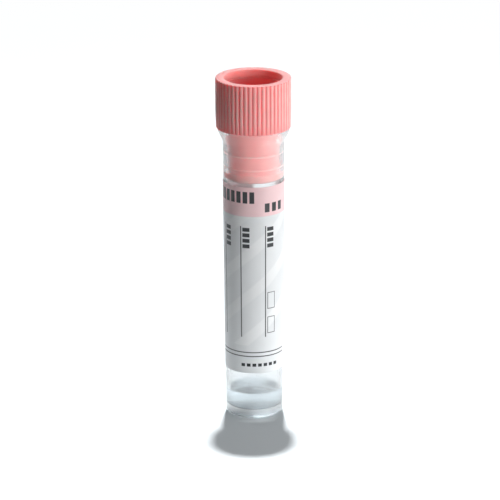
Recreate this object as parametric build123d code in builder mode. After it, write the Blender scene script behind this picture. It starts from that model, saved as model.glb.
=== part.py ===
from build123d import *

import os
from math import atan2, degrees

# A 13 x 65 mm blood collection tube: a flat-bottomed moulded tube with a flared mouth, a ribbed
# push-in stopper, a wrap-round label and a small dose of anticoagulant solution. Millimetres, +Z up.
# The origin is the middle of the tube's foot, and the front faces -Y.

# Tube, moulded in one piece with the same draft inside and outside
tube_length = 65.0
foot_radius = 6.15           # outer wall, carried down to the foot
neck_radius = 6.67           # outer wall where the flare begins
neck_height = 62.1
wall = 0.72
flare_radius = 8.03          # widest part of the flared mouth
flare_middle = (7.42, 63.4)  # a point halfway up the flare's curve: radius and height
neck_length = 1.1            # straight piece under the flare
neck_blend = 0.5             # hollow fillet between the neck and the flare
lip_chamfer = 0.2            # on the mouth's outer edge
mouth_chamfer = 0.45         # lead-in at the top of the bore
floor_height = 1.7           # inside floor above the foot
floor_corner = 1.3           # fillet between the floor and the bore
foot_corner = 0.55           # rounding round the foot
foot_recess = 0.3            # the underside stands this far off the table inside its foot ring
foot_recess_radius = 4.5

# Stopper: a ribbed head over a hollow plug with two sealing rings and a sealing band
head_radius = 8.2            # over the ribs
head_height = 11.0
head_drawn_in = 0.12         # the head is this much slimmer at its lower edge
head_drawn_height = 3.2
head_chamfer = 0.2           # on the head's top edges
rib_count = 52
groove_turn = -1.5           # degrees from +X to the first groove
groove_depth = 0.3           # the grooves run out through the chamfered top edge
groove_width = 0.58          # between the tops of two ribs
groove_root = 0.22           # width at the bottom of a groove: the ribs' flanks have draft
groove_foot = 0.4            # plain hem under the grooves
head_mouth_radius = 6.3      # short wide mouth in the head, down to a narrow ledge
head_mouth_depth = 1.7
well_radius = 6.0            # hollow of the head, below the ledge
well_draft = 0.1             # how much it narrows down to the shoulder
shoulder_top = 1.6           # heights above the head's lower edge: here the wall slopes in
shoulder_foot = 0.4          # from the head's hollow to the plug's
hollow_radius = 5.1          # hollow of the plug
hollow_draft = 0.25          # how much it narrows down to its floor
hollow_chamfer = 0.6         # between the hollow's wall and floor
plug_radius = 5.77
plug_length = 11.3
plug_floor = 1.1
ring_drops = (5.4, 8.4)      # middle of each sealing ring, below the head
ring_half_height = 0.3
ring_crest = 0.1             # half the height of the narrow land that touches the bore
band_drop = 9.7              # top of the sealing band, below the head
band_step = 0.2              # height of the slope above the band
band_chamfer = 0.22          # lead-in at the plug's lower end
seal_clearance = 0.03        # radial play that each seal keeps in the bore

# Label: one strip, wrapped round with a gap that leaves the contents in view
label_bottom = 10.6
label_height = 42.5
label_width = 34.0
label_thickness = 0.1
label_glue = 0.02            # layer of adhesive between the label and the tube
label_turn = -28.0           # middle of the label: degrees from the front, to the right

# Anticoagulant solution in the bottom of the bore
solution_level = 5.4
meniscus_rise = 0.25         # how far the surface climbs the wall
meniscus_width = 0.9
wetting_gap = 0.01

# Derived from the above
draft = (neck_radius - foot_radius) / neck_height
wall_lean = degrees(atan2(neck_height, neck_radius - foot_radius))
wall_top = neck_height - neck_length
head_top = tube_length + head_height
ledge_height = head_top - head_mouth_depth
plug_end = tube_length - plug_length
hollow_floor = plug_end + plug_floor
hollow_end = hollow_radius - hollow_draft
groove_flank = degrees(atan2(groove_depth, (groove_width - groove_root) / 2))
front = -90.0

os.makedirs("parts", exist_ok=True)


def outer_radius(height):
    """Radius of the tube's outer wall at a height above the foot."""
    return foot_radius + draft * height


def bore_radius(height):
    """Radius of the tube's bore at a height above the foot."""
    return outer_radius(height) - wall


def seal_radius(drop):
    """Radius of a seal that sits at a distance below the head."""
    return bore_radius(tube_length - drop) - seal_clearance


def corner_at(sketch, radius, height):
    """The vertex of a section, in the section's own plane, at a radius and height."""
    return sketch.vertices().sort_by_distance((radius, height))[0]


# Long drafted walls are drawn as straight Beziers, because they turn into faces with few facets.

# Tube: a drafted wall on a rounded foot ring, opening into a solid flare that carries the stopper
with BuildPart() as tube:
    with BuildSketch(Plane.XZ) as tube_section:
        with BuildLine():
            underside = Polyline(
                (0, foot_recess),
                (foot_recess_radius, foot_recess),
                (foot_recess_radius + foot_recess, 0),
                (foot_radius - foot_corner, 0),
            )
            foot_rounding = JernArc(underside @ 1, underside % 1, foot_corner, wall_lean)
            outside = Bezier(foot_rounding @ 1, (outer_radius(wall_top), wall_top))
            neck = Line(outside @ 1, (neck_radius, neck_height))
            flare = ThreePointArc(neck @ 1, flare_middle, (flare_radius, tube_length))
            mouth = Polyline(
                flare @ 1,
                (bore_radius(tube_length) + mouth_chamfer, tube_length),
                (bore_radius(tube_length - mouth_chamfer), tube_length - mouth_chamfer),
            )
            bore = Line(mouth @ 1, (bore_radius(floor_height), floor_height))
            Polyline(bore @ 1, (0, floor_height), (0, foot_recess))
        make_face()
        fillet(corner_at(tube_section, neck_radius, neck_height), neck_blend)
        fillet(corner_at(tube_section, bore_radius(floor_height), floor_height), floor_corner)
        chamfer(corner_at(tube_section, flare_radius, tube_length), lip_chamfer)
    revolve(axis=Axis.Z)
tube.part.label = "tube"
export_step(tube.part, "parts/tube.step")

# Stopper: head, plug and rings turned in one section, then the grooves cut between the ribs
with BuildPart() as stopper:
    with BuildSketch(Plane.XZ) as stopper_section:
        with BuildLine():
            head = Polyline(
                (plug_radius, tube_length),
                (head_radius - head_drawn_in, tube_length),
                (head_radius, tube_length + head_drawn_height),
                (head_radius, head_top),
                (head_mouth_radius, head_top),
                (head_mouth_radius, ledge_height),
                (well_radius, ledge_height),
            )
            well = Bezier(head @ 1, (well_radius - well_draft, tube_length + shoulder_top))
            shoulder = Line(well @ 1, (hollow_radius, tube_length + shoulder_foot))
            hollow = Bezier(shoulder @ 1, (hollow_end, hollow_floor + hollow_chamfer))
            Polyline(
                hollow @ 1,
                (hollow_end - hollow_chamfer, hollow_floor),
                (0, hollow_floor),
                (0, plug_end),
                (seal_radius(plug_length) - band_chamfer, plug_end),
                (seal_radius(plug_length - band_chamfer), plug_end + band_chamfer),
                (seal_radius(band_drop), tube_length - band_drop),
                (plug_radius, tube_length - band_drop + band_step),
                (plug_radius, tube_length),
            )
        make_face()
        chamfer(corner_at(stopper_section, head_radius, head_top), head_chamfer)
        chamfer(corner_at(stopper_section, head_mouth_radius, head_top), head_chamfer)
        for ring_drop in ring_drops:
            ring_height = tube_length - ring_drop
            with BuildLine():
                Polyline(
                    (hollow_radius, ring_height - ring_half_height),
                    (plug_radius, ring_height - ring_half_height),
                    (seal_radius(ring_drop), ring_height - ring_crest),
                    (seal_radius(ring_drop), ring_height + ring_crest),
                    (plug_radius, ring_height + ring_half_height),
                    (hollow_radius, ring_height + ring_half_height),
                    close=True,
                )
            make_face()
    revolve(axis=Axis.Z)
    groove_middle = head_radius - groove_depth / 2
    with BuildSketch(Plane.XY.offset(tube_length + groove_foot)):
        with PolarLocations(groove_middle, rib_count, start_angle=groove_turn):
            Trapezoid(groove_width, groove_depth, groove_flank, rotation=90)
    extrude(amount=head_height, mode=Mode.SUBTRACT)
stopper.part.label = "stopper"
export_step(stopper.part, "parts/stopper.step")

# Label: a strip that follows the drafted wall
label_top = label_bottom + label_height
label_arc = degrees(label_width / outer_radius(label_bottom + label_height / 2))
label_start = front + label_turn - label_arc / 2
label_back = label_glue
label_face = label_glue + label_thickness
with BuildPart() as label:
    with BuildSketch(Plane.XZ.rotated((0, 0, label_start))):
        with BuildLine():
            lower_edge = Line(
                (outer_radius(label_bottom) + label_back, label_bottom),
                (outer_radius(label_bottom) + label_face, label_bottom),
            )
            upper_edge = Line(
                (outer_radius(label_top) + label_face, label_top),
                (outer_radius(label_top) + label_back, label_top),
            )
            Bezier(lower_edge @ 1, upper_edge @ 0)
            Bezier(upper_edge @ 1, lower_edge @ 0)
        make_face()
    revolve(axis=Axis.Z, revolution_arc=label_arc)
label.part.label = "label"
export_step(label.part, "parts/label.step")

# Solution: fills the bottom of the bore, and its surface turns up at the wall
solution_floor = floor_height + wetting_gap
solution_edge = solution_level + meniscus_rise
with BuildPart() as solution:
    with BuildSketch(Plane.XZ) as solution_section:
        with BuildLine():
            Polyline(
                (0, solution_floor),
                (bore_radius(solution_floor) - wetting_gap, solution_floor),
                (bore_radius(solution_edge) - wetting_gap, solution_edge),
                (bore_radius(solution_edge) - meniscus_width, solution_level),
                (0, solution_level),
                close=True,
            )
        make_face()
        chamfer(
            corner_at(solution_section, bore_radius(solution_floor) - wetting_gap, solution_floor),
            floor_corner,
        )
    revolve(axis=Axis.Z)
solution.part.label = "solution"
export_step(solution.part, "parts/solution.step")
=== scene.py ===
import math

import bmesh
import bpy
from mathutils import Matrix, Vector


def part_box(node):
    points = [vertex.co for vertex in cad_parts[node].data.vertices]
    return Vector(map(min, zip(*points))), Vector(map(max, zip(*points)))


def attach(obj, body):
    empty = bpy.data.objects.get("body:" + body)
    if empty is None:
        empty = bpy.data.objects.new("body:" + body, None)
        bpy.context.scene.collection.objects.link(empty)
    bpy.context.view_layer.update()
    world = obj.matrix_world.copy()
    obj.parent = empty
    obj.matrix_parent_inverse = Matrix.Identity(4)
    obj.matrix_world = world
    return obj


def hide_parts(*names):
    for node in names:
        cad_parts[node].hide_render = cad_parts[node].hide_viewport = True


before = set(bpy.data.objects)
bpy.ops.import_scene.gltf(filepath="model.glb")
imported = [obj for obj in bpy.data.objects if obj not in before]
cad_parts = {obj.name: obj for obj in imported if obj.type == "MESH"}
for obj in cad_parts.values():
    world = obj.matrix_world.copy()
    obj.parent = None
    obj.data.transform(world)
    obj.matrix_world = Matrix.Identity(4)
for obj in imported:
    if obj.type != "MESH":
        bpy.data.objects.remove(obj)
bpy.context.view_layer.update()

mm = 0.001
mergeDistance = 0.0004 * mm
segmentsPerMm = 12      # of a corner's rounding
print("frame loaded:", sorted(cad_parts))


def deselectAll():
    if bpy.context.object and bpy.context.object.mode != "OBJECT":
        bpy.ops.object.mode_set(mode="OBJECT")
    bpy.ops.object.select_all(action="DESELECT")


def selectOnly(piece):
    deselectAll()
    piece.select_set(True)
    bpy.context.view_layer.objects.active = piece


def selectVerts(piece, wanted):
    # wanted is a test on a vertex's place; edit mode, vertex select
    bpy.ops.mesh.select_all(action="DESELECT")
    mesh = bmesh.from_edit_mesh(piece.data)
    for vert in mesh.verts:
        if wanted(vert.co):
            vert.select = True
    mesh.select_flush(False)
    bmesh.update_edit_mesh(piece.data)


def drawProfile(name, corners):
    # one vertex is extruded from corner to corner, then the marked corners are rounded
    # each corner is (radius, height, rounding) in millimetres
    deselectAll()
    bpy.ops.mesh.primitive_plane_add(size=mm)
    piece = bpy.context.object
    piece.name = piece.data.name = name
    bpy.ops.object.mode_set(mode="EDIT")
    bpy.ops.mesh.select_mode(type="VERT")
    bpy.ops.mesh.select_all(action="SELECT")
    bpy.ops.mesh.merge(type="CENTER")
    places = [Vector((radius, 0, height)) * mm for radius, height, rounding in corners]
    bpy.ops.transform.translate(value=places[0])
    for start, end in zip(places, places[1:]):
        bpy.ops.mesh.extrude_region_move(TRANSFORM_OT_translate={"value": end - start})
    for place, (radius, height, rounding) in zip(places, corners):
        if rounding:
            selectVerts(piece, lambda co: (co - place).length < mergeDistance)
            steps = max(2, min(8, round(rounding * segmentsPerMm)))
            bpy.ops.mesh.bevel(affect="VERTICES", offset=rounding * mm, segments=steps)
    return piece


def turnProfile(degrees):
    # about the tube's axis; with no window transform.rotate turns the other way
    bpy.ops.mesh.select_all(action="SELECT")
    bpy.ops.transform.rotate(value=-math.radians(degrees), orient_axis="Z",
                             center_override=(0, 0, 0))


def spinRound(piece, columns, turn=math.tau):
    # anticlockwise from above; the operator's own positive angle turns clockwise
    bpy.ops.mesh.select_all(action="SELECT")
    bpy.ops.mesh.spin(steps=columns, angle=-turn, center=(0, 0, 0), axis=(0, 0, 1))
    bpy.ops.mesh.select_all(action="SELECT")
    bpy.ops.mesh.remove_doubles(threshold=mergeDistance)
    bpy.ops.mesh.normals_make_consistent(inside=False)


def smooth(piece, crispOver):
    selectOnly(piece)
    bpy.ops.object.shade_smooth_by_angle(angle=math.radians(crispOver))


def settle(piece, body, node, material):
    # hand the finished piece to the frame
    piece.data.materials.clear()
    piece.data.materials.append(material)
    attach(piece, body)
    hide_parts(node)
    print("made", piece.name, len(piece.data.polygons), "faces")


def addNode(tree, kind, place, inputs=None, **settings):
    # an input is a plain value, or another node's socket to link
    node = tree.nodes.new(kind)
    node.location = place
    for key, value in settings.items():
        setattr(node, key, value)
    for key, value in (inputs or {}).items():
        if isinstance(value, bpy.types.NodeSocket):
            tree.links.new(value, node.inputs[key])
        else:
            node.inputs[key].default_value = value
    return node


def calc(tree, place, operation, *values, clamp=False):
    node = addNode(tree, "ShaderNodeMath", place, dict(enumerate(values)),
                   operation=operation, use_clamp=clamp)
    return node.outputs[0]


def ramp(tree, place, value, start, end, low=0.0, high=1.0, easing="LINEAR"):
    # low at start and high at end, and no further beyond them
    node = addNode(tree, "ShaderNodeMapRange", place,
                   {"Value": value, "From Min": start, "From Max": end,
                    "To Min": low, "To Max": high}, interpolation_type=easing)
    return node.outputs[0]


def mixColours(tree, place, factor, below, above, blend="MIX"):
    node = addNode(tree, "ShaderNodeMix", place, {0: factor, 6: below, 7: above},
                   data_type="RGBA", blend_type=blend)
    return node.outputs[2]


def mixShaders(tree, place, share, first, second):
    node = addNode(tree, "ShaderNodeMixShader", place,
                   {0: share, 1: first.outputs[0], 2: second.outputs[0]})
    return node.outputs[0]


def newGroup(name, inputs, outputs):
    group = bpy.data.node_groups.new(name, "ShaderNodeTree")
    for socket in inputs:
        kind = "NodeSocketVector" if socket == "Vector" else "NodeSocketFloat"
        group.interface.new_socket(name=socket, in_out="INPUT", socket_type=kind)
    for socket in outputs:
        group.interface.new_socket(name=socket, in_out="OUTPUT", socket_type="NodeSocketFloat")
    source = addNode(group, "NodeGroupInput", (-900, 0))
    sink = addNode(group, "NodeGroupOutput", (700, 0))
    return group, source.outputs, sink.inputs


def newMaterial(name):
    material = bpy.data.materials.new(name)
    material.use_nodes = True
    tree = material.node_tree
    tree.nodes.clear()
    output = addNode(tree, "ShaderNodeOutputMaterial", (900, 0))
    return material, tree, output


# the camera, in metres
view = {
    "place": (0.0, -0.809, 0.299),
    "target": (-0.00085, 0.0, 0.0369),
    "roll": -0.24,      # degrees
    "lens": 280.8,
    "sensor": 36.0,
    "clip": (0.01, 50),
}


def makeCamera(values):
    data = bpy.data.cameras.new("camera")
    data.lens = values["lens"]
    data.sensor_width = values["sensor"]
    data.clip_start, data.clip_end = values["clip"]
    camera = bpy.data.objects.new("camera", data)
    bpy.context.scene.collection.objects.link(camera)
    look = Vector(values["target"]) - Vector(values["place"])
    turn = look.to_track_quat("-Z", "Y").to_matrix().to_4x4()
    roll = Matrix.Rotation(math.radians(values["roll"]), 4, "Z")
    camera.matrix_world = Matrix.Translation(values["place"]) @ turn @ roll
    bpy.context.scene.camera = camera


makeCamera(view)
print("camera set")


# the effects that several materials share; each material sets their scales and strengths
surface = {
    "grainDetail": 3.0,
    "waveDetail": 2.0,
    "noiseSpan": (0.3, 0.7),        # nearly all of a noise lies between these
    "patchScale": 420.0,            # specks keep to patches, where a noise is above a value
    "patchDetail": 1.0,
    "patchAbove": 0.58,
    "scuffScale": 2600.0,           # scuffs fade in between two values of a stretched noise
    "scuffDetail": 2.0,
    "scuffStretch": (1.0, 1.0, 0.06),
    "scuffLean": (0.5, 0.25, 0.0),  # radians off the tube's axis
    "scuffSpan": (0.66, 0.74),
}


def makeMouldGrain(values):
    # fine spark-eroded mould texture and the slow unevenness of a moulding
    group, given, out = newGroup("mouldGrain", ("Vector", "Grain Scale", "Wave Scale", "Grain"),
                                 ("Height", "Unevenness"))
    grain = addNode(group, "ShaderNodeTexNoise", (-600, 150),
                    {"Vector": given["Vector"], "Scale": given["Grain Scale"],
                     "Detail": values["grainDetail"]})
    wave = addNode(group, "ShaderNodeTexNoise", (-600, -150),
                   {"Vector": given["Vector"], "Scale": given["Wave Scale"],
                    "Detail": values["waveDetail"]})
    fine = calc(group, (-300, 150), "MULTIPLY", grain.outputs[0], given["Grain"])
    height = calc(group, (0, 50), "ADD", fine, wave.outputs[0])
    group.links.new(height, out["Height"])
    group.links.new(wave.outputs[0], out["Unevenness"])
    return group


def makeHandlingMarks(values):
    # specks of dust and short hairline scuffs from handling in a rack
    group, given, out = newGroup("handlingMarks",
                                 ("Vector", "Speck Scale", "Speck Size", "Scuff Amount"),
                                 ("Specks", "Scuffs"))
    cells = addNode(group, "ShaderNodeTexVoronoi", (-600, 200),
                    {"Vector": given["Vector"], "Scale": given["Speck Scale"]})
    patches = addNode(group, "ShaderNodeTexNoise", (-600, -50),
                      {"Vector": given["Vector"], "Scale": values["patchScale"],
                       "Detail": values["patchDetail"]})
    near = calc(group, (-350, 200), "LESS_THAN", cells.outputs["Distance"], given["Speck Size"])
    chosen = calc(group, (-350, -50), "GREATER_THAN", patches.outputs[0], values["patchAbove"])
    specks = calc(group, (-100, 150), "MULTIPLY", near, chosen)
    stretched = addNode(group, "ShaderNodeMapping", (-750, -350),
                        {"Vector": given["Vector"], "Scale": values["scuffStretch"],
                         "Rotation": values["scuffLean"]})
    lines = addNode(group, "ShaderNodeTexNoise", (-550, -350),
                    {"Vector": stretched.outputs[0], "Scale": values["scuffScale"],
                     "Detail": values["scuffDetail"]})
    thin = ramp(group, (-350, -350), lines.outputs[0], *values["scuffSpan"])
    scuffs = calc(group, (-100, -300), "MULTIPLY", thin, given["Scuff Amount"])
    group.links.new(specks, out["Specks"])
    group.links.new(scuffs, out["Scuffs"])
    return group


def makePrintedBar():
    # mask of one printed rectangle on the unrolled label, in millimetres
    sides = (("Across", "Middle Across", "Half Width"), ("Up", "Middle Up", "Half Height"))
    group, given, out = newGroup("printedBar", (*sides[0], *sides[1], "Edge"), ("Mask",))
    masks = []
    for row, (value, middle, half) in enumerate(sides):
        y = -200 * row
        away = calc(group, (-650, y), "SUBTRACT", given[value], given[middle])
        distance = calc(group, (-480, y), "ABSOLUTE", away)
        inside = calc(group, (-310, y), "SUBTRACT", given[half], distance)
        faded = calc(group, (-140, y), "DIVIDE", inside, given["Edge"])
        masks.append(calc(group, (30, y), "ADD", faded, 0.5, clamp=True))   # half on the outline
    both = calc(group, (250, 0), "MULTIPLY", *masks)
    group.links.new(both, out["Mask"])
    return group


mouldGrain = makeMouldGrain(surface)
handlingMarks = makeHandlingMarks(surface)
printedBar = makePrintedBar()


def useGrain(tree, place, coords, grain):
    # grain is its scale, the scale of the slow waves and the grain's share of the height
    scale, waveScale, share = grain
    return addNode(tree, "ShaderNodeGroup", place,
                   {"Vector": coords, "Grain Scale": scale, "Wave Scale": waveScale,
                    "Grain": share}, node_tree=mouldGrain)


def useMarks(tree, place, coords, marks):
    # marks are the specks' scale and size and the amount of scuffs
    scale, size, amount = marks
    return addNode(tree, "ShaderNodeGroup", place,
                   {"Vector": coords, "Speck Scale": scale, "Speck Size": size,
                    "Scuff Amount": amount}, node_tree=handlingMarks)


def useBump(tree, place, grain, bump):
    # bump is its strength and its depth in millimetres
    strength, depth = bump
    node = addNode(tree, "ShaderNodeBump", place,
                   {"Height": grain.outputs["Height"], "Strength": strength,
                    "Distance": depth * mm})
    return node.outputs[0]


def lampShare(tree, headOn):
    # lamp light passes a clear wall, less and less of it the more it grazes
    path = addNode(tree, "ShaderNodeLightPath", (-700, 700))
    lamp = calc(tree, (-500, 700), "MAXIMUM", path.outputs["Is Shadow Ray"],
                path.outputs["Is Diffuse Ray"])
    facing = addNode(tree, "ShaderNodeLayerWeight", (-700, 450), {"Blend": 0.5}).outputs["Facing"]
    thrownBack = calc(tree, (-500, 450), "POWER", facing, 5.0)      # Schlick's power
    passed = calc(tree, (-300, 450), "SUBTRACT", 1.0, thrownBack)
    most = calc(tree, (-100, 600), "MULTIPLY", lamp, headOn)
    return calc(tree, (100, 500), "MULTIPLY", most, passed)


# the tube; lengths are in millimetres here and in the other pieces' dictionaries
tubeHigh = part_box("tube")[1]
tube = {
    "length": tubeHigh.z / mm,
    "flareRadius": tubeHigh.x / mm,
    "footRadius": 6.15,             # outer wall, carried down to the foot
    "neckRadius": 6.67,             # outer wall where the flare begins
    "neckHeight": 62.1,
    "wall": 0.72,
    "flareMiddle": (7.42, 63.4),    # radius and height of a point halfway up the flare
    "floorHeight": 1.7,
    "footRecess": 0.3,              # the underside stands this far off the table
    "recessRadius": 4.5,
    "recessEdge": 0.15,
    "footCorner": 0.55,
    "neckBlend": 0.5,
    "flareCurve": 0.8,
    "lipEdge": 0.2,
    "mouthChamfer": 0.45,
    "mouthEdge": 0.1,
    "floorCorner": 1.3,
    "columns": 192,
    "crispOver": 40.0,              # degrees: an edge that turns more than this stays crisp

    "tint": (0.985, 0.987, 0.987, 1),
    "footShadeTint": (0.935, 0.945, 0.95, 1),    # painted shade: darker towards the foot
    "footHeights": (9.0, 16.0),             # all of that tint below the first, none above
    "soleShadeTint": (0.78, 0.84, 0.87, 1),      # painted shade: darker on the sole, which is also rough where it slides on a bench
    "soleHeights": (0.25, 0.5),
    "soleRoughness": 0.4,
    "roughness": (0.18, 0.21),
    "scuffRoughness": 0.2,
    "haze": 0.06,                           # share of the light that each surface scatters
    "milk": (0.97, 0.978, 0.985, 1),
    "milkDensity": 45.0,                    # how cloudy the plastic is inside, for each metre
    "milkForward": 0.55,
    "ior": 1.49,
    "gleam": (0.85, 0.85, 0.85, 1),
    "lampShare": 0.95,                      # of the lamp light, passed by a surface head on
    "grain": (5200.0, 150.0, 0.1),          # what these three hold is noted in useGrain,
    "marks": (520.0, 0.05, 0.3),            # useMarks and useBump
    "bump": (0.02, 0.05),
}
draft = (tube["neckRadius"] - tube["footRadius"]) / tube["neckHeight"]


def outerRadius(height):
    return tube["footRadius"] + draft * height


def boreRadius(height):
    return outerRadius(height) - tube["wall"]


def makeTube(values):
    top = values["length"]
    floor = values["floorHeight"]
    chamfer = values["mouthChamfer"]
    corners = [
        (0, values["footRecess"], 0),
        (values["recessRadius"], values["footRecess"], values["recessEdge"]),
        (values["recessRadius"] + values["footRecess"], 0, values["recessEdge"]),
        (values["footRadius"], 0, values["footCorner"]),
        (values["neckRadius"], values["neckHeight"], values["neckBlend"]),
        (*values["flareMiddle"], values["flareCurve"]),
        (values["flareRadius"], top, values["lipEdge"]),
        (boreRadius(top) + chamfer, top, values["mouthEdge"]),
        (boreRadius(top - chamfer), top - chamfer, values["mouthEdge"]),
        (boreRadius(floor), floor, values["floorCorner"]),
        (0, floor, 0),
    ]
    piece = drawProfile("tube_wall", corners)
    spinRound(piece, values["columns"])
    smooth(piece, values["crispOver"])
    return piece


def makeClearPlastic(values):
    material, tree, output = newMaterial("clearPlastic")
    coords = addNode(tree, "ShaderNodeTexCoord", (-1300, 0)).outputs["Object"]
    height = addNode(tree, "ShaderNodeSeparateXYZ", (-1000, 900), {0: coords}).outputs["Z"]
    grain = useGrain(tree, (-1000, 200), coords, values["grain"])
    marks = useMarks(tree, (-1000, -200), coords, values["marks"])
    # painted shade: the tint darkens towards the foot
    footTop, footEnd = values["footHeights"]
    foot = ramp(tree, (-800, 900), height, footEnd * mm, footTop * mm)
    footShaded = mixColours(tree, (-500, 900), foot, values["tint"], values["footShadeTint"])
    # painted shade: the tint darkens further on the sole
    soleTop, soleEnd = values["soleHeights"]
    sole = ramp(tree, (-800, 1150), height, soleEnd * mm, soleTop * mm)
    tint = mixColours(tree, (-300, 900), sole, footShaded, values["soleShadeTint"])
    rough = ramp(tree, (-700, 50), grain.outputs["Unevenness"], *surface["noiseSpan"],
                 *values["roughness"])
    wearAndSheen = calc(tree, (-500, 0), "MULTIPLY_ADD", marks.outputs["Scuffs"],
                values["scuffRoughness"], rough)
    rougher = calc(tree, (-300, 0), "MULTIPLY_ADD", sole, values["soleRoughness"], wearAndSheen)
    wall = addNode(tree, "ShaderNodeBsdfPrincipled", (-100, 100), {
        "Base Color": tint, "Roughness": rougher, "IOR": values["ior"],
        "Transmission Weight": 1 - values["haze"], "Specular Tint": values["gleam"],
        "Normal": useBump(tree, (-500, -250), grain, values["bump"]),
    })
    passing = addNode(tree, "ShaderNodeBsdfTransparent", (-100, -300), {"Color": values["tint"]})
    mixed = mixShaders(tree, (400, 0), lampShare(tree, values["lampShare"]), wall, passing)
    tree.links.new(mixed, output.inputs["Surface"])
    cloud = addNode(tree, "ShaderNodeVolumeScatter", (400, -300), {
        "Color": values["milk"], "Density": values["milkDensity"],
        "Anisotropy": values["milkForward"]})
    tree.links.new(cloud.outputs[0], output.inputs["Volume"])
    return material


clearPlastic = makeClearPlastic(tube)
settle(makeTube(tube), "tube", "tube", clearPlastic)


# the dose of anticoagulant in the bottom
solution = {
    "level": 5.4,
    "rise": 0.25,               # how far the surface climbs the wall
    "meniscusReach": 0.405,
    "meniscusCurve": 0.36,
    "wetting": 0.006,           # the liquid's skin lies just inside the plastic, so no air shows
    "columns": 160,
    "crispOver": 40.0,

    # painted shade: the clear solution is tinted darker blue-grey, like the shaded table seen
    # through it
    "tint": (0.82, 0.875, 0.905, 1),
    "roughness": 0.0,
    "ior": 1.335,
    "lampShare": 0.97,
    "grain": (900.0, 120.0, 0.05),
    "bump": (0.04, 0.05),
}


def makeSolution(values):
    wet = values["wetting"]
    level = values["level"]
    floor = tube["floorHeight"] - wet
    edge = level + values["rise"]
    corners = [
        (0, floor, 0),
        (boreRadius(floor) + wet, floor, tube["floorCorner"]),
        (boreRadius(edge) + wet, edge, 0),
        (boreRadius(edge) - values["meniscusReach"], level, values["meniscusCurve"]),
        (0, level, 0),
    ]
    piece = drawProfile("citrate_dose", corners)
    spinRound(piece, values["columns"])
    smooth(piece, values["crispOver"])
    return piece


def makeWateryLiquid(values):
    material, tree, output = newMaterial("wateryLiquid")
    coords = addNode(tree, "ShaderNodeTexCoord", (-900, 0)).outputs["Object"]
    grain = useGrain(tree, (-700, 0), coords, values["grain"])
    # the liquid's tint holds painted shade
    skin = addNode(tree, "ShaderNodeBsdfPrincipled", (-100, 100), {
        "Base Color": values["tint"], "Roughness": values["roughness"], "IOR": values["ior"],
        "Transmission Weight": 1.0,
        "Normal": useBump(tree, (-450, -200), grain, values["bump"]),
    })
    passing = addNode(tree, "ShaderNodeBsdfTransparent", (-100, -300), {"Color": values["tint"]})
    mixed = mixShaders(tree, (400, 0), lampShare(tree, values["lampShare"]), skin, passing)
    tree.links.new(mixed, output.inputs["Surface"])
    return material


wateryLiquid = makeWateryLiquid(solution)
settle(makeSolution(solution), "tube", "solution", wateryLiquid)


# the stopper: ribbed head, hollow plug, two sealing rings and a sealing band
stopperLow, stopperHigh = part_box("stopper")
stopper = {
    "headTop": stopperHigh.z / mm,
    "headFoot": tube["length"],
    "plugEnd": stopperLow.z / mm,
    "headRadius": 8.2,
    "drawnIn": 0.12,            # the head is this much slimmer at its foot
    "drawnHeight": 3.2,
    "topEdge": 0.2,
    "footEdge": 0.1,
    "mouthRadius": 6.3,
    "mouthDepth": 1.7,
    "ledgeEdge": 0.1,
    "wellRadius": 6.0,          # hollow of the head, below the ledge
    "wellDraft": 0.1,
    "shoulderTop": 1.6,         # here the wall slopes in from the well to the plug's hollow
    "shoulderFoot": 0.4,
    "shoulderCurves": (0.4, 0.3),
    "hollowRadius": 5.1,
    "hollowDraft": 0.25,
    "hollowCorner": 0.6,
    "plugFloor": 1.1,
    "plugRadius": 5.77,
    "plugRoot": 0.15,           # fillet between the plug and the head
    "ringDrops": (5.4, 8.4),    # middle of each ring, below the head
    "ringHalf": 0.3,
    "ringCrest": 0.1,
    "ringEdge": 0.05,
    "bandDrop": 9.7,
    "bandStep": 0.2,
    "bandChamfer": 0.22,
    "sealBlend": 0.08,          # roundings beside the rings and on the band
    "endEdge": 0.06,
    "squeeze": 0.006,           # the seals press this far into the bore
    "ribs": 52,
    "columnsPerRib": 14,
    "grooveTurn": -1.5,         # degrees from +X to the first groove
    "grooveDepth": 0.3,
    "grooveFoot": 0.15,         # plain hem under the grooves
    "grooveRise": 0.06,         # height of a row of faces at a groove's foot
    # share of that depth at each column, counted from a groove's middle: moulding rounds it out
    "grooveShape": (0.72, 0.63, 0.45, 0.26, 0.11, 0.02),
    "crispOver": 50.0,

    "pink": (0.95, 0.4, 0.385, 1),
    "hollowShadePink": (0.915, 0.22, 0.235, 1),    # painted shade: half way down the head's hollow
    "deepest": 6.0,                         # height of that, above the head's foot
    "liningReach": (0.3, -0.1),             # of the hollow's pinks, past the plug's hollow and
    "liningFade": 0.15,                     # the head's mouth, and the fade from there
    "grooveShadePink": (0.93, 0.25, 0.26, 1),    # painted shade: between the ribs
    "crestHighlightPink": (0.96, 0.5, 0.48, 1),       # painted highlight: on the crests of the ribs
    "crestDepths": (0.22, 0.03),            # none of that below the first, all above the second
    "headDepth": 0.35,                      # the head's outer skin, with its grooves
    "topShadePink": (0.74, 0.33, 0.325, 1),   # painted shade: darker on the top
    "crownDepths": (0.3, 0.05),
    "sealHighlightPink": (0.97, 0.56, 0.54, 1),      # painted highlight: on the rings and the band
    "sealHeights": (0.02, 0.12),            # of the rings and the band, off the plug
    "sealsUnder": 1.0,                      # and at least this far below the head
    "mottle": (0.94, 1.0),                  # slow unevenness of the colour
    "scuffed": (0.96, 0.52, 0.5, 1),
    "dust": (0.9, 0.86, 0.84, 1),
    "dustiness": 0.5,
    "roughness": (0.28, 0.38),
    "ior": 1.5,
    "gleam": 0.12,
    "softness": 1.0,                        # share of light that enters the soft plastic
    "lightReach": (1.0, 0.28, 0.27),        # how far red, green and blue spread in it,
    "lightDepth": 1.6,                      # times this
    "grain": (8500.0, 300.0, 0.35),
    "marks": (900.0, 0.06, 0.15),
    "bump": (0.06, 0.06),
}


def sealRadius(drop):
    return boreRadius(stopper["headFoot"] - drop) + stopper["squeeze"]


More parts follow.
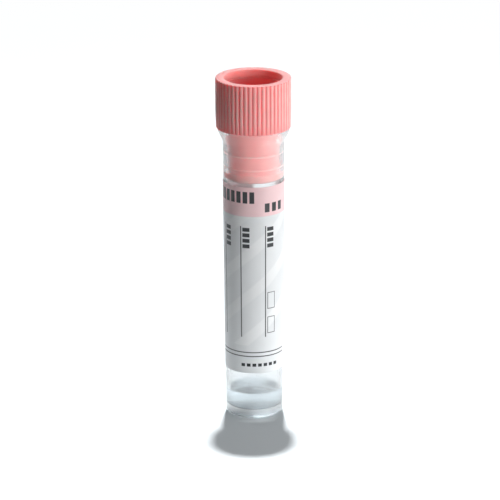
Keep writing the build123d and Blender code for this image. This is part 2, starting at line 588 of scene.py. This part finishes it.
def cutGrooves(piece, values):
    # columns are drawn in towards the axis, and never past the groove's own depth
    columns = values["ribs"] * values["columnsPerRib"]
    turn = math.radians(values["grooveTurn"])
    lowest = (values["headFoot"] + values["grooveFoot"]) * mm - mergeDistance
    outside = (values["mouthRadius"] + values["headRadius"]) / 2 * mm
    mesh = bmesh.from_edit_mesh(piece.data)
    rings = {}
    for vert in mesh.verts:
        radius = math.hypot(vert.co.x, vert.co.y)
        if vert.co.z > lowest and radius > outside:
            step = round((math.atan2(vert.co.y, vert.co.x) - turn) / math.tau * columns)
            phase = step % values["columnsPerRib"]
            fromMiddle = min(phase, values["columnsPerRib"] - phase)
            if fromMiddle < len(values["grooveShape"]):
                key = (fromMiddle, round(radius / mm, 3))
                rings.setdefault(key, []).append(vert.index)
    for (fromMiddle, radius), members in rings.items():
        allowed = values["headRadius"] - values["grooveDepth"] * values["grooveShape"][fromMiddle]
        if radius <= allowed:
            continue
        bpy.ops.mesh.select_all(action="DESELECT")
        mesh = bmesh.from_edit_mesh(piece.data)
        mesh.verts.ensure_lookup_table()
        for index in members:
            mesh.verts[index].select = True
        bmesh.update_edit_mesh(piece.data)
        shrink = allowed / radius
        bpy.ops.transform.resize(value=(shrink, shrink, 1), center_override=(0, 0, 0))


def makeStopper(values):
    top, foot, end = values["headTop"], values["headFoot"], values["plugEnd"]
    ledge = top - values["mouthDepth"]
    hollowFloor = end + values["plugFloor"]
    hem = foot + values["grooveFoot"]
    slope = values["drawnIn"] / values["drawnHeight"]
    footRadius = values["headRadius"] - values["drawnIn"]
    hemRadius = footRadius + slope * values["grooveFoot"]
    upperCurve, lowerCurve = values["shoulderCurves"]
    blend = values["sealBlend"]
    corners = [
        (0, hollowFloor, 0),
        (values["hollowRadius"] - values["hollowDraft"], hollowFloor, values["hollowCorner"]),
        (values["hollowRadius"], foot + values["shoulderFoot"], lowerCurve),
        (values["wellRadius"] - values["wellDraft"], foot + values["shoulderTop"], upperCurve),
        (values["wellRadius"], ledge, values["ledgeEdge"]),
        (values["mouthRadius"], ledge, values["ledgeEdge"]),
        (values["mouthRadius"], top, values["topEdge"]),
        (values["headRadius"], top, values["topEdge"]),
        (values["headRadius"], foot + values["drawnHeight"], 0),
        (hemRadius + slope * values["grooveRise"], hem + values["grooveRise"], 0),
        (hemRadius, hem, 0),
        (footRadius, foot, values["footEdge"]),
        (values["plugRadius"], foot, values["plugRoot"]),
    ]
    for drop in values["ringDrops"]:
        middle = foot - drop
        corners += [
            (values["plugRadius"], middle + values["ringHalf"], blend),
            (sealRadius(drop), middle + values["ringCrest"], values["ringEdge"]),
            (sealRadius(drop), middle - values["ringCrest"], values["ringEdge"]),
            (values["plugRadius"], middle - values["ringHalf"], blend),
        ]
    bandTop = foot - values["bandDrop"]
    chamfer = values["bandChamfer"]
    corners += [
        (values["plugRadius"], bandTop + values["bandStep"], blend),
        (sealRadius(values["bandDrop"]), bandTop, blend),
        (sealRadius(foot - end - chamfer), end + chamfer, blend),
        (sealRadius(foot - end) - chamfer, end, values["endEdge"]),
        (0, end, 0),
    ]
    piece = drawProfile("ribbed_stopper", corners)
    turnProfile(values["grooveTurn"])
    spinRound(piece, values["ribs"] * values["columnsPerRib"])
    cutGrooves(piece, values)
    smooth(piece, values["crispOver"])
    return piece


def makeSoftPink(values):
    material, tree, output = newMaterial("softPinkPlastic")
    coords = addNode(tree, "ShaderNodeTexCoord", (-1500, 0)).outputs["Object"]
    grain = useGrain(tree, (-1200, 200), coords, values["grain"])
    marks = useMarks(tree, (-1200, -200), coords, values["marks"])
    parts = addNode(tree, "ShaderNodeSeparateXYZ", (-1500, 700), {0: coords})
    flat = addNode(tree, "ShaderNodeCombineXYZ", (-1350, 700),
                   {"X": parts.outputs["X"], "Y": parts.outputs["Y"]})
    height = parts.outputs["Z"]
    radius = addNode(tree, "ShaderNodeVectorMath", (-1200, 700), {0: flat.outputs[0]},
                     operation="LENGTH").outputs["Value"]

    # 0 on the hollow's wall and 1 outside it: the wall steps in at the shoulder
    pastHollow, pastMouth = values["liningReach"]
    reach = ramp(tree, (-1200, 950), height,
                 (values["headFoot"] + values["shoulderFoot"]) * mm,
                 (values["headFoot"] + values["shoulderTop"]) * mm,
                 (values["hollowRadius"] + pastHollow) * mm,
                 (values["mouthRadius"] + pastMouth) * mm)
    outward = calc(tree, (-1000, 850), "SUBTRACT", radius, reach)
    outside = calc(tree, (-850, 850), "DIVIDE", outward, values["liningFade"] * mm, clamp=True)

    # outside: painted shade deep in the grooves and on the top, and a painted highlight on the
    # crests of the ribs
    deep, raised = values["crestDepths"]
    crest = ramp(tree, (-1000, 600), radius, (values["headRadius"] - deep) * mm,
                 (values["headRadius"] - raised) * mm)
    onHead = calc(tree, (-1200, 1250), "GREATER_THAN", radius,
                  (values["headRadius"] - values["headDepth"]) * mm)
    body = mixColours(tree, (-1000, 150), onHead, values["pink"], values["grooveShadePink"])
    wearAndSheen = mixColours(tree, (-850, 550), crest, body, values["crestHighlightPink"])
    below, near = values["crownDepths"]
    crown = ramp(tree, (-1000, 350), height, (values["headTop"] - below) * mm,
                 (values["headTop"] - near) * mm)
    crownShaded = mixColours(tree, (-700, 550), crown, wearAndSheen, values["topShadePink"])
    # painted highlight: paler on the sealing rings and the band
    low, high = values["sealHeights"]
    offPlug = ramp(tree, (-1000, 1350), radius, (values["plugRadius"] + low) * mm,
                    (values["plugRadius"] + high) * mm)
    underHead = calc(tree, (-1000, 1600), "LESS_THAN", height,
                     (values["headFoot"] - values["sealsUnder"]) * mm)
    seals = calc(tree, (-850, 1450), "MULTIPLY", offPlug, underHead)
    outerLitAndShaded = mixColours(tree, (-600, 700), seals, crownShaded, values["sealHighlightPink"])

    # inside: painted shade, deepest half way down the head, paler up and down from there
    middle = values["headFoot"] + values["deepest"]
    fromMiddle = calc(tree, (-1000, 1100), "SUBTRACT", height, middle * mm)
    away = calc(tree, (-850, 1100), "ABSOLUTE", fromMiddle)
    paler = calc(tree, (-700, 1100), "DIVIDE", away, (values["headTop"] - middle) * mm,
                 clamp=True)
    inside = mixColours(tree, (-700, 900), paler, values["hollowShadePink"], values["pink"])
    hollowShaded = mixColours(tree, (-500, 550), outside, inside, outerLitAndShaded)

    uneven = ramp(tree, (-900, 150), grain.outputs["Unevenness"], *surface["noiseSpan"],
                  *values["mottle"])
    base = mixColours(tree, (-400, 450), 1.0, hollowShaded, uneven, "MULTIPLY")
    rubbed = mixColours(tree, (-400, 250), marks.outputs["Scuffs"], base, values["scuffed"])
    speckled = calc(tree, (-650, -50), "MULTIPLY", marks.outputs["Specks"], values["dustiness"])
    dusty = mixColours(tree, (-150, 250), speckled, rubbed, values["dust"])
    rough = ramp(tree, (-650, -250), grain.outputs["Unevenness"], *surface["noiseSpan"],
                 *values["roughness"])
    plastic = addNode(tree, "ShaderNodeBsdfPrincipled", (200, 100), {
        "Base Color": dusty, "Roughness": rough, "IOR": values["ior"],
        "Specular IOR Level": values["gleam"], "Subsurface Weight": values["softness"],
        "Subsurface Radius": values["lightReach"],
        "Subsurface Scale": values["lightDepth"] * mm,
        "Normal": useBump(tree, (-400, -400), grain, values["bump"]),
    })
    tree.links.new(plastic.outputs[0], output.inputs["Surface"])
    return material


softPink = makeSoftPink(stopper)
settle(makeStopper(stopper), "stopper", "stopper", softPink)


# the label and its plain print; across is measured round the label from the front
labelLow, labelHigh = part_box("label")
label = {
    "bottom": labelLow.z / mm,
    "top": labelHigh.z / mm,
    "width": 34.0,
    "thickness": 0.1,
    "glue": 0.02,
    "turn": -28.0,                      # middle of the label, degrees from the front
    "columns": 150,
    "rows": 12,
    "crispOver": 40.0,

    "ground": (0.70, 0.723, 0.737, 1),
    "band": (0.85, 0.575, 0.59, 1),
    "bandFoot": 46.5,
    "bandBlur": 0.05,
    "stripe": (0.77, 0.79, 0.80, 1),
    "stripeFoot": 17.0,
    "stripePitch": 7.25,
    "stripeStart": 4.05,
    "stripeLean": 49.0,                 # degrees
    "stripeBlur": (2.25, 2.65),         # from a stripe's outside to its inside
    "ink": (0.02, 0.022, 0.026, 1),
    "inkBlur": 0.04,
    "ruleTurns": (-66.0, -25.4, 22.5),  # degrees from the front to each upright rule
    "ruleEnds": (18.9, 44.3),
    "ruleHalf": 0.12,
    "headDrops": (0.75, 2.0, 3.25, 4.5),    # blocks beside a rule's top, down from it
    "headAcross": 1.15,
    "headHalves": (0.78, 0.44),
    "boxTurn": 35.0,                    # two empty tick boxes
    "boxHeights": (27.2, 21.6),
    "boxHalves": (0.95, 1.9),
    "boxLine": 0.15,
    "footRules": (15.4, 14.5),          # a double rule near the foot of the label
    "footRuleAcross": -0.65,
    "footRuleHalves": (8.65, 0.11),
    # rows of blocks: how many, the first one's place, their pitch and their halves
    "dashes": (7, (-2.5, 12.5), 1.25, (0.42, 0.36)),
    "heading": (7, (-9.1, 50.8), 1.45, (0.5, 1.3)),
    "subheading": (3, (2.9, 48.4), 1.7, (0.55, 1.0)),

    "mottle": (0.965, 1.0),
    "roughness": 0.42,
    "scuffRoughness": 0.3,
    "ior": 1.46,
    "gleam": 0.35,
    "varnish": 0.2,
    "varnishRoughness": 0.28,
    "softness": 0.9,                    # share of light that enters the film
    "lightReach": (1.0, 1.0, 1.0),
    "lightDepth": 0.3,
    "grain": (11000.0, 220.0, 0.4),
    "marks": (800.0, 0.05, 0.3),
    "bump": (0.1, 0.04),
}
labelRadius = outerRadius((label["bottom"] + label["top"]) / 2)


def makeLabel(values):
    height = values["top"] - values["bottom"]
    arc = values["width"] / labelRadius
    start = -90 + values["turn"] - math.degrees(arc / 2)
    outside = values["glue"] + values["thickness"]
    corners = []
    for row in range(values["rows"] + 1):
        z = values["bottom"] + height * row / values["rows"]
        corners.append((outerRadius(z) + outside, z, 0))
    piece = drawProfile("wrap_label", corners)
    turnProfile(start)
    spinRound(piece, values["columns"], arc)
    selectOnly(piece)
    film = piece.modifiers.new("film", "SOLIDIFY")
    film.thickness = values["thickness"] * mm
    film.offset = -1
    bpy.ops.object.modifier_apply(modifier=film.name)
    smooth(piece, values["crispOver"])
    return piece


def drawPrint(tree, values, across, up):
    # the mask of all that is printed in ink
    perDegree = math.radians(1) * labelRadius
    inked = []

    def bar(x, z, halves, place):
        node = addNode(tree, "ShaderNodeGroup", place, {
            "Across": across, "Up": up, "Middle Across": x, "Middle Up": z,
            "Half Width": halves[0], "Half Height": halves[1], "Edge": values["inkBlur"],
        }, node_tree=printedBar)
        return node.outputs["Mask"]

    low, high = values["ruleEnds"]
    for number, turn in enumerate(values["ruleTurns"]):
        x = turn * perDegree
        inked.append(bar(x, (low + high) / 2, (values["ruleHalf"], (high - low) / 2),
                         (-1400, 900 - 200 * number)))
        for block, drop in enumerate(values["headDrops"]):
            inked.append(bar(x + values["headAcross"], high - drop, values["headHalves"],
                             (-1200, 900 - 90 * block - 200 * number)))
    halfWidth, halfHeight = values["boxHalves"]
    innerHalves = (halfWidth - values["boxLine"], halfHeight - values["boxLine"])
    for number, z in enumerate(values["boxHeights"]):
        x = values["boxTurn"] * perDegree
        outer = bar(x, z, values["boxHalves"], (-1400, 100 - 300 * number))
        bare = bar(x, z, innerHalves, (-1400, -50 - 300 * number))
        inked.append(calc(tree, (-1200, 50 - 300 * number), "SUBTRACT", outer, bare, clamp=True))
    for number, z in enumerate(values["footRules"]):
        inked.append(bar(values["footRuleAcross"], z, values["footRuleHalves"],
                         (-1400, -500 - 150 * number)))
    for number, row in enumerate(("dashes", "heading", "subheading")):
        count, (x, z), pitch, halves = values[row]
        for block in range(count):
            inked.append(bar(x + block * pitch, z, halves,
                             (-1400 - 200 * number, -800 - 90 * block)))
    ink = inked[0]
    for number, mask in enumerate(inked[1:]):
        ink = calc(tree, (-900, 1200 - 60 * number), "MAXIMUM", ink, mask)
    return ink


def makeLabelStock(values):
    material, tree, output = newMaterial("printedLabel")
    coords = addNode(tree, "ShaderNodeTexCoord", (-2600, 0)).outputs["Object"]
    parts = addNode(tree, "ShaderNodeSeparateXYZ", (-2400, 0), {0: coords})
    towards = calc(tree, (-2200, -100), "MULTIPLY", parts.outputs["Y"], -1.0)
    angle = calc(tree, (-2000, 0), "ARCTAN2", parts.outputs["X"], towards)
    across = calc(tree, (-1800, 0), "MULTIPLY", angle, labelRadius)
    up = calc(tree, (-1800, -200), "DIVIDE", parts.outputs["Z"], mm)

    lean = math.radians(values["stripeLean"])
    along = calc(tree, (-1500, -1500), "MULTIPLY_ADD", across, math.cos(lean),
                 values["stripeStart"])
    slant = calc(tree, (-1300, -1500), "MULTIPLY_ADD", up, -math.sin(lean), along)
    wave = calc(tree, (-1100, -1500), "PINGPONG", slant, values["stripePitch"] / 2)
    stripe = ramp(tree, (-900, -1500), wave, *values["stripeBlur"])
    overStripes = calc(tree, (-900, -1700), "GREATER_THAN", up, values["stripeFoot"])
    stripes = calc(tree, (-700, -1550), "MULTIPLY", stripe, overStripes)
    ground = mixColours(tree, (-500, -1400), stripes, values["ground"], values["stripe"])
    inBand = calc(tree, (-700, -1000), "SUBTRACT", up, values["bandFoot"])
    band = calc(tree, (-550, -1000), "DIVIDE", inBand, values["bandBlur"], clamp=True)
    banded = mixColours(tree, (-300, -900), band, ground, values["band"])
    printed = mixColours(tree, (-100, -700), drawPrint(tree, values, across, up), banded,
                         values["ink"])

    grain = useGrain(tree, (-700, 300), coords, values["grain"])
    marks = useMarks(tree, (-700, 0), coords, values["marks"])
    uneven = ramp(tree, (-400, 200), grain.outputs["Unevenness"], *surface["noiseSpan"],
                  *values["mottle"])
    toned = mixColours(tree, (100, -500), 1.0, printed, uneven, "MULTIPLY")
    rough = calc(tree, (-150, 0), "MULTIPLY_ADD", marks.outputs["Scuffs"],
                 values["scuffRoughness"], values["roughness"])
    film = addNode(tree, "ShaderNodeBsdfPrincipled", (400, 100), {
        "Base Color": toned, "Roughness": rough, "IOR": values["ior"],
        "Specular IOR Level": values["gleam"], "Coat Weight": values["varnish"],
        "Coat Roughness": values["varnishRoughness"], "Subsurface Weight": values["softness"],
        "Subsurface Radius": values["lightReach"],
        "Subsurface Scale": values["lightDepth"] * mm,
        "Normal": useBump(tree, (-150, -200), grain, values["bump"]),
    })
    tree.links.new(film.outputs[0], output.inputs["Surface"])
    return material


printedLabel = makeLabelStock(label)
settle(makeLabel(label), "tube", "label", printedLabel)


# floor and light, in metres
studio = {
    "floorRadius": 2.5,
    "floorSides": 96,
    "floorPlain": (0.90, 0.95, 0.975, 1),
    "sheetBounce": (0.90, 0.91, 0.92, 1),   # what the white sheet round the foot throws back
    "floorBounce": (0.10, 0.10, 0.10, 1),   # and what the floor beyond it does
    "sheetEdge": (0.05, 0.12),              # the sheet fades into the floor between these
    "whiteEdge": (0.16, 0.42),              # and the floor into the backdrop's white
    "white": (1.0, 1.0, 1.0, 1),
    "ambient": 0.015,
    "backdropLight": 0.35,                  # what the white backdrop behind the object adds
    "ambientTint": (0.86, 0.95, 1.0, 1),
    "keyPlace": (0.004, 0.19, 0.765),
    "keyTarget": (0.0, 0.0, 0.02),
    "keySize": (0.03, 0.03),
    "keyPower": 6.2,
    "sideAzimuth": 47.0,                    # degrees from the front to the right
    "sidePower": 2.6,
    "rimAzimuth": 100.0,
    "rimPower": 1.15,
    "sideDistance": 0.55,
    "sideHeight": 0.112,
    "sideSize": (0.26, 0.24),
    "sideTarget": (0.0, 0.0, 0.04),
}


def aimLamp(name, shape, size, power, place, target):
    data = bpy.data.lights.new(name, "AREA")
    data.shape = shape
    data.size, data.size_y = size
    data.energy = power
    lamp = bpy.data.objects.new(name, data)
    bpy.context.scene.collection.objects.link(lamp)
    lamp.location = place
    look = Vector(target) - Vector(place)
    lamp.rotation_euler = look.to_track_quat("-Z", "Y").to_euler()


def whiteRays(tree):
    # camera, glossy and transmission rays see the plain white surroundings
    path = addNode(tree, "ShaderNodeLightPath", (-800, 400))
    first = calc(tree, (-600, 400), "MAXIMUM", path.outputs["Is Camera Ray"],
                 path.outputs["Is Glossy Ray"])
    return calc(tree, (-400, 400), "MAXIMUM", first, path.outputs["Is Transmission Ray"])


def makeFloor(values):
    deselectAll()
    bpy.ops.mesh.primitive_circle_add(vertices=values["floorSides"],
                                      radius=values["floorRadius"], fill_type="NGON")
    floor = bpy.context.object
    floor.name = "floor"
    material, tree, output = newMaterial("paleFloor")
    white = whiteRays(tree)
    coords = addNode(tree, "ShaderNodeTexCoord", (-1000, -200)).outputs["Object"]
    reach = addNode(tree, "ShaderNodeVectorMath", (-800, -200), {0: coords},
                    operation="LENGTH").outputs["Value"]
    far = ramp(tree, (-600, -200), reach, *values["whiteEdge"], easing="SMOOTHSTEP")
    beyond = ramp(tree, (-600, 0), reach, *values["sheetEdge"], easing="SMOOTHSTEP")
    bounce = mixColours(tree, (-400, 0), beyond, values["sheetBounce"], values["floorBounce"])
    colour = mixColours(tree, (-200, 200), white, bounce, values["floorPlain"])
    card = addNode(tree, "ShaderNodeBsdfDiffuse", (100, 200), {"Color": colour})
    glow = addNode(tree, "ShaderNodeEmission", (100, 0),
                   {"Color": values["white"], "Strength": 1.0})
    share = calc(tree, (-100, -100), "MULTIPLY", far, white)
    tree.links.new(mixShaders(tree, (500, 100), share, card, glow), output.inputs["Surface"])
    floor.data.materials.append(material)


def makeWorld(values):
    world = bpy.data.worlds.new("studio")
    world.use_nodes = True
    tree = world.node_tree
    tree.nodes.clear()
    output = addNode(tree, "ShaderNodeOutputWorld", (600, 0))
    coords = addNode(tree, "ShaderNodeTexCoord", (-800, -200)).outputs["Generated"]
    parts = addNode(tree, "ShaderNodeSeparateXYZ", (-600, -200), {0: coords})
    behind = ramp(tree, (-400, -200), parts.outputs["Y"], 0.0, 1.0, values["ambient"],
                  values["ambient"] + values["backdropLight"], "SMOOTHSTEP")
    dim = addNode(tree, "ShaderNodeBackground", (0, -100),
                  {"Color": values["ambientTint"], "Strength": behind})
    plain = addNode(tree, "ShaderNodeBackground", (0, 100),
                    {"Color": values["white"], "Strength": 1.0})
    mixed = mixShaders(tree, (300, 0), whiteRays(tree), dim, plain)
    tree.links.new(mixed, output.inputs["Surface"])
    bpy.context.scene.world = world


makeFloor(studio)
makeWorld(studio)
aimLamp("keyLamp", "DISK", studio["keySize"], studio["keyPower"], studio["keyPlace"],
        studio["keyTarget"])
for lampName in ("side", "rim"):
    lampTurn = math.radians(studio[lampName + "Azimuth"])
    lampPlace = (studio["sideDistance"] * math.sin(lampTurn),
                 -studio["sideDistance"] * math.cos(lampTurn), studio["sideHeight"])
    aimLamp(lampName + "Lamp", "RECTANGLE", studio["sideSize"], studio[lampName + "Power"],
            lampPlace, studio["sideTarget"])
bpy.context.scene.view_settings.view_transform = "Standard"
print("studio lit")
